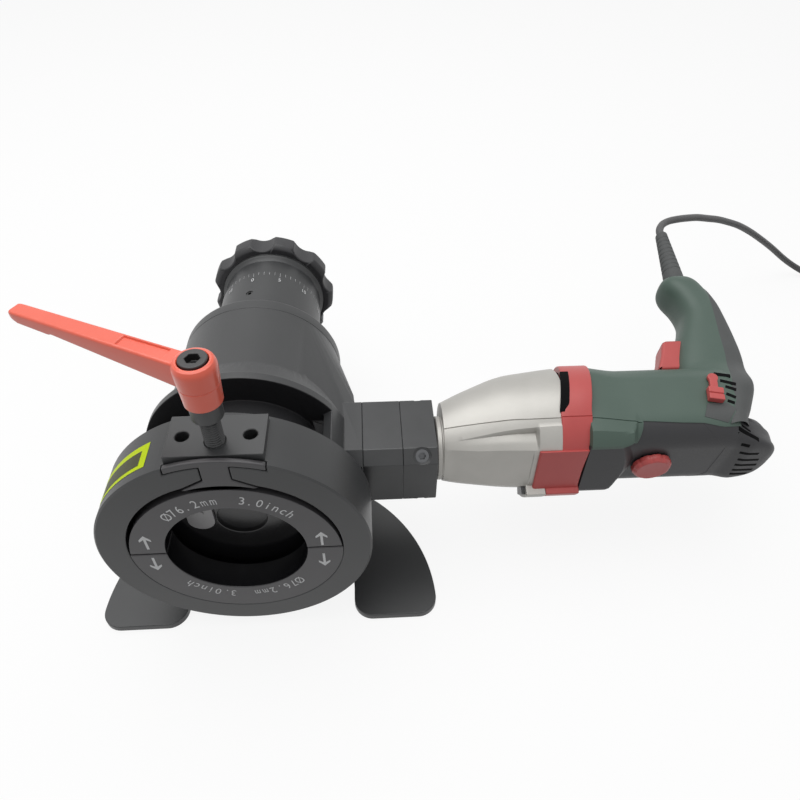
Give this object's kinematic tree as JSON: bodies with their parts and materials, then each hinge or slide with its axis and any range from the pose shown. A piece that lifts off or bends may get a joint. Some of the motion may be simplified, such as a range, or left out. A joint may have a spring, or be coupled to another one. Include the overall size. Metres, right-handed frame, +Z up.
{
  "type": "electric tube facer",
  "caption": "Tube end facing machine: split collet clamp with lever, cutter spindle with feed knob, and an angle drive turned by a hand drill with a mains lead.",
  "frame": {"origin": "centre of the tube clamp's bore at its front face", "axes": "+Y along the head axis from the clamp to the feed knob, +X along the drill, +Z up from the base"},
  "size_m": [0.7587, 0.3858, 0.211],
  "materials": {
    "satin_black": "satin",
    "blued_steel": "satin",
    "black_screw": "satin",
    "bare_steel": "satin",
    "bearing_steel": "polished",
    "orange_paint": "gloss",
    "silver_case": "satin",
    "green_plastic": "satin",
    "red_plastic": "satin",
    "black_plastic": "matte",
    "soft_rubber": "matte",
    "carbide": "satin",
    "copper_iron": "satin",
    "cord_rubber": "matte"
  },
  "bodies": {
    "frame": {"base_plate": "satin_black", "base_saddle": "satin_black", "base_screws": "bare_steel", "head_casting": "satin_black", "lower_collet": "blued_steel", "rear_cover": "satin_black", "rear_cover_screws": "black_screw", "feed_sleeve": "satin_black", "spindle_bearings": "bearing_steel", "gear_block": "blued_steel", "drill_clamp": "blued_steel", "block_screws": "black_screw", "clamp_set_screws": "bare_steel", "pinion_bearings": "bearing_steel", "gear_case": "silver_case", "red_ring": "red_plastic", "handle_shell_upper": "green_plastic", "handle_shell_lower": "green_plastic", "motor_cover": "black_plastic", "back_strap": "soft_rubber", "vent_covers": "black_plastic", "stator": "copper_iron", "armature_bearings": "bearing_steel", "brush_holders": "carbide", "switch_module": "black_plastic", "shell_screws": "bare_steel", "cord_sleeve": "soft_rubber", "cord_tube": "cord_rubber", "cord_coil": "cord_rubber", "cord_tie": "black_plastic", "mains_plug": "black_plastic"},
    "clamp_slider": {"clamp_slider": "blued_steel", "upper_collet": "blued_steel"},
    "clamp_screw": {"clamp_stud": "blued_steel", "lever_insert": "blued_steel", "lever_cap_screw": "black_screw", "lever_spring": "bare_steel"},
    "clamp_lever": {"lever_handle": "orange_paint"},
    "feed_knob": {"feed_knob": "black_plastic", "knob_hub": "satin_black", "dial_ring": "satin_black", "dial_set_screw": "black_screw", "feed_screw": "bare_steel", "knob_cap": "black_plastic"},
    "feed_carrier": {"feed_carrier": "bare_steel", "thrust_bearing": "bearing_steel"},
    "cutter_spindle": {"spindle": "bare_steel", "cutter_head": "blued_steel", "tool_holder": "bare_steel", "cutting_insert": "carbide"},
    "crown_gear": {"crown_gear": "bare_steel"},
    "pinion_drive": {"pinion_gear": "bare_steel", "drive_coupling": "blued_steel", "output_spindle": "bare_steel"},
    "lay_shaft": {"lay_shaft": "bare_steel"},
    "armature": {"armature": "copper_iron"},
    "trigger": {"trigger": "red_plastic"},
    "reversing_lever": {"reversing_lever": "red_plastic"},
    "speed_knob": {"speed_knob": "red_plastic"}
  },
  "joints": [
    {"name": "clamp_turn", "type": "hinge", "parent": "clamp_slider", "child": "clamp_screw", "pos_m": [0, 0.013, 0.1], "axis": [0, 0, 1], "range_deg": [0, 240]},
    {"name": "clamp_slide", "type": "slide", "parent": "frame", "child": "clamp_slider", "axis": [0, 0, 1], "range_m": [0, 0.001]},
    {"name": "lever_lift", "type": "slide", "parent": "clamp_screw", "child": "clamp_lever", "axis": [0, 0, 1], "range_m": [0, 0.004], "stiffness_N_per_m": 600, "springref_m": -0.004, "deforming": ["lever_spring"]},
    {"name": "knob_turn", "type": "hinge", "parent": "frame", "child": "feed_knob", "pos_m": [0, 0.24, 0], "axis": [0, 1, 0], "range_deg": [0, 2880]},
    {"name": "feed_slide", "type": "slide", "parent": "frame", "child": "feed_carrier", "axis": [0, 1, 0], "range_m": [0, 0.012]},
    {"name": "spindle_spin", "type": "hinge", "parent": "feed_carrier", "child": "cutter_spindle", "pos_m": [0, 0.1, 0], "axis": [0, 1, 0], "continuous": true},
    {"name": "crown_spin", "type": "hinge", "parent": "frame", "child": "crown_gear", "pos_m": [0, 0.1, 0], "axis": [0, 1, 0], "continuous": true},
    {"name": "pinion_spin", "type": "hinge", "parent": "frame", "child": "pinion_drive", "pos_m": [0.06, 0.07, 0], "axis": [1, 0, 0], "continuous": true},
    {"name": "lay_spin", "type": "hinge", "parent": "frame", "child": "lay_shaft", "pos_m": [0.18, 0.07151, 0.01693], "axis": [1, 0, 0], "continuous": true},
    {"name": "armature_spin", "type": "hinge", "parent": "frame", "child": "armature", "pos_m": [0.25, 0.08379, 0.00243], "axis": [1, 0, 0], "continuous": true},
    {"name": "trigger_pull", "type": "slide", "parent": "frame", "child": "trigger", "axis": [1, 0, 0], "range_m": [0, 0.006], "stiffness_N_per_m": 900, "springref_m": -0.003},
    {"name": "reversing_turn", "type": "hinge", "parent": "frame", "child": "reversing_lever", "pos_m": [0.289, 0.08675, 0.03748], "axis": [0, -0.1736, 0.9848], "range_deg": [0, 24]},
    {"name": "speed_turn", "type": "hinge", "parent": "frame", "child": "speed_knob", "pos_m": [0.2493, 0.05129, -0.0033], "axis": [0, -0.9848, -0.1736], "range_deg": [0, 180]}
  ],
  "couplings": [
    {"joint": "clamp_slide", "follows": "clamp_turn", "m_per_rad": 0.00023873},
    {"joint": "feed_slide", "follows": "knob_turn", "m_per_rad": 0.00023873},
    {"joint": "pinion_spin", "follows": "armature_spin", "ratio": 0.11111},
    {"joint": "lay_spin", "follows": "armature_spin", "ratio": -0.26667},
    {"joint": "crown_spin", "follows": "armature_spin", "ratio": -0.044444},
    {"joint": "spindle_spin", "follows": "armature_spin", "ratio": -0.044444}
  ]
}
